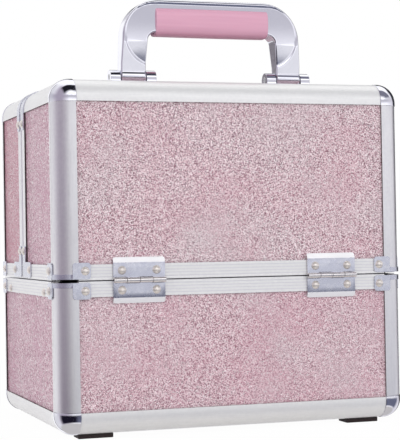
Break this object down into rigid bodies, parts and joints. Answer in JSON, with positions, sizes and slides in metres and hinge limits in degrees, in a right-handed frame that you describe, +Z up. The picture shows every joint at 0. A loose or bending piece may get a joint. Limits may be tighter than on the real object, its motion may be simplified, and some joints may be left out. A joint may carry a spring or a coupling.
{
  "type": "makeup storage case",
  "caption": "Aluminium-framed makeup case with glitter boards: two hinged upper halves open outwards and draw out cantilever trays over a base compartment; folding top handle.",
  "frame": {"origin": "on the ground under the middle of the closed case", "axes": "+X to the right seen from the front, +Y to the back, +Z up"},
  "size_m": [0.2712, 0.2088, 0.3182],
  "materials": {
    "aluminium": "bright anodised, fine brushed grain",
    "chrome": "polished plate",
    "glitter_board": "pink film packed with fine glitter under a clear gloss",
    "soft_grip": "smooth soft-touch pink plastic",
    "foot_rubber": "matt dark rubber",
    "lining": "short black flocked lining",
    "tray_plastic": "fine-textured black moulding",
    "steel": "zinc-plated strip"
  },
  "bodies": {
    "base": {"base_floor": "glitter_board", "base_front_panel": "glitter_board", "base_back_panel": "glitter_board", "base_side_panels": "glitter_board", "base_columns": "aluminium", "base_bottom_edges": "aluminium", "base_corner_caps": "chrome", "base_rim_strips": "aluminium", "base_straps": "chrome", "base_rivets": "chrome", "base_lining": "lining", "feet": "foot_rubber", "hinge_base_leaves": "chrome", "hinge_pins": "steel", "arm_rivets": "chrome"},
    "front_half": {"front_half_panel": "glitter_board", "front_half_sides": "glitter_board", "front_half_top": "glitter_board", "front_half_columns": "aluminium", "front_half_edges": "aluminium", "front_half_caps": "chrome", "front_half_rims": "aluminium", "front_half_straps": "chrome", "front_half_trims": "aluminium", "front_half_brackets": "chrome", "front_half_rivets": "chrome", "front_half_lining": "lining", "front_half_leaves": "chrome", "handle_bearings": "chrome", "handle_pins": "steel", "latch_plates": "chrome"},
    "back_half": {"back_half_panel": "glitter_board", "back_half_sides": "glitter_board", "back_half_top": "glitter_board", "back_half_columns": "aluminium", "back_half_edges": "aluminium", "back_half_caps": "chrome", "back_half_rims": "aluminium", "back_half_straps": "chrome", "back_half_trims": "aluminium", "back_half_brackets": "chrome", "back_half_rivets": "chrome", "back_half_lining": "lining", "back_half_leaves": "chrome", "lock_bodies": "chrome"},
    "handle": {"handle_arch": "chrome", "handle_grip": "soft_grip"},
    "hasp_left": {"latch_hasp_left": "chrome"},
    "hasp_right": {"latch_hasp_right": "chrome"},
    "front_outer_arms": {"front_outer_arms": "steel"},
    "front_inner_arms": {"front_inner_arms": "steel"},
    "front_lower_tray": {"front_lower_tray": "tray_plastic"},
    "front_upper_tray": {"front_upper_tray": "tray_plastic"},
    "front_links": {"front_links": "steel"},
    "back_outer_arms": {"back_outer_arms": "steel"},
    "back_inner_arms": {"back_inner_arms": "steel"},
    "back_lower_tray": {"back_lower_tray": "tray_plastic"},
    "back_upper_tray": {"back_upper_tray": "tray_plastic"},
    "back_links": {"back_links": "steel"}
  },
  "joints": [
    {"name": "front_half_hinge", "type": "hinge", "parent": "base", "child": "front_half", "pos_m": [0, -0.1024, 0.1115], "axis": [1, 0, 0], "range_deg": [0, 90]},
    {"name": "front_outer_arm_pivot", "type": "hinge", "parent": "base", "child": "front_outer_arms", "pos_m": [0, -0.0795, 0.1045], "axis": [1, 0, 0], "range_deg": [0, 58.1]},
    {"name": "front_inner_arm_pivot", "type": "hinge", "parent": "base", "child": "front_inner_arms", "pos_m": [0, -0.06, 0.1032], "axis": [1, 0, 0], "range_deg": [0, 58.1]},
    {"name": "front_lower_tray_pivot", "type": "hinge", "parent": "front_inner_arms", "child": "front_lower_tray", "pos_m": [0, -0.04144, 0.1381], "axis": [1, 0, 0], "range_deg": [-58.1, 0]},
    {"name": "front_upper_tray_pivot", "type": "hinge", "parent": "front_inner_arms", "child": "front_upper_tray", "pos_m": [0, -0.01486, 0.1881], "axis": [1, 0, 0], "range_deg": [-58.1, 0]},
    {"name": "front_link_pivot", "type": "hinge", "parent": "front_half", "child": "front_links", "pos_m": [0, -0.0864, 0.1325], "axis": [1, 0, 0], "range_deg": [-84.65, 0]},
    {"name": "back_half_hinge", "type": "hinge", "parent": "base", "child": "back_half", "pos_m": [0, 0.1024, 0.1115], "axis": [-1, 0, 0], "range_deg": [0, 90]},
    {"name": "back_outer_arm_pivot", "type": "hinge", "parent": "base", "child": "back_outer_arms", "pos_m": [0, 0.0795, 0.1045], "axis": [-1, 0, 0], "range_deg": [0, 50.1]},
    {"name": "back_inner_arm_pivot", "type": "hinge", "parent": "base", "child": "back_inner_arms", "pos_m": [0, 0.06, 0.1032], "axis": [-1, 0, 0], "range_deg": [0, 50.1]},
    {"name": "back_lower_tray_pivot", "type": "hinge", "parent": "back_inner_arms", "child": "back_lower_tray", "pos_m": [0, 0.0473, 0.1381], "axis": [-1, 0, 0], "range_deg": [-50.1, 0]},
    {"name": "back_upper_tray_pivot", "type": "hinge", "parent": "back_inner_arms", "child": "back_upper_tray", "pos_m": [0, 0.0291, 0.1881], "axis": [-1, 0, 0], "range_deg": [-50.1, 0]},
    {"name": "back_link_pivot", "type": "hinge", "parent": "back_half", "child": "back_links", "pos_m": [0, 0.0864, 0.127], "axis": [-1, 0, 0], "range_deg": [-95.36, 0]},
    {"name": "handle_pivot", "type": "hinge", "parent": "front_half", "child": "handle", "pos_m": [0, -0.048, 0.2603], "axis": [1, 0, 0], "range_deg": [-84, 84]},
    {"name": "hasp_left_pivot", "type": "hinge", "parent": "front_half", "child": "hasp_left", "pos_m": [-0.097, -0.014, 0.2569], "axis": [1, 0, 0], "range_deg": [0, 100]},
    {"name": "hasp_right_pivot", "type": "hinge", "parent": "front_half", "child": "hasp_right", "pos_m": [0.097, -0.014, 0.2569], "axis": [1, 0, 0], "range_deg": [0, 100]}
  ],
  "couplings": [
    {"joint": "front_outer_arm_pivot", "follows": "front_half_hinge", "ratio": 0.64444},
    {"joint": "front_inner_arm_pivot", "follows": "front_half_hinge", "ratio": 0.64444},
    {"joint": "front_lower_tray_pivot", "follows": "front_half_hinge", "ratio": -0.64444},
    {"joint": "front_upper_tray_pivot", "follows": "front_half_hinge", "ratio": -0.64444},
    {"joint": "front_link_pivot", "follows": "front_half_hinge", "ratio": -0.935},
    {"joint": "back_outer_arm_pivot", "follows": "back_half_hinge", "ratio": 0.55556},
    {"joint": "back_inner_arm_pivot", "follows": "back_half_hinge", "ratio": 0.55556},
    {"joint": "back_lower_tray_pivot", "follows": "back_half_hinge", "ratio": -0.55556},
    {"joint": "back_upper_tray_pivot", "follows": "back_half_hinge", "ratio": -0.55556},
    {"joint": "back_link_pivot", "follows": "back_half_hinge", "ratio": -1.054}
  ]
}
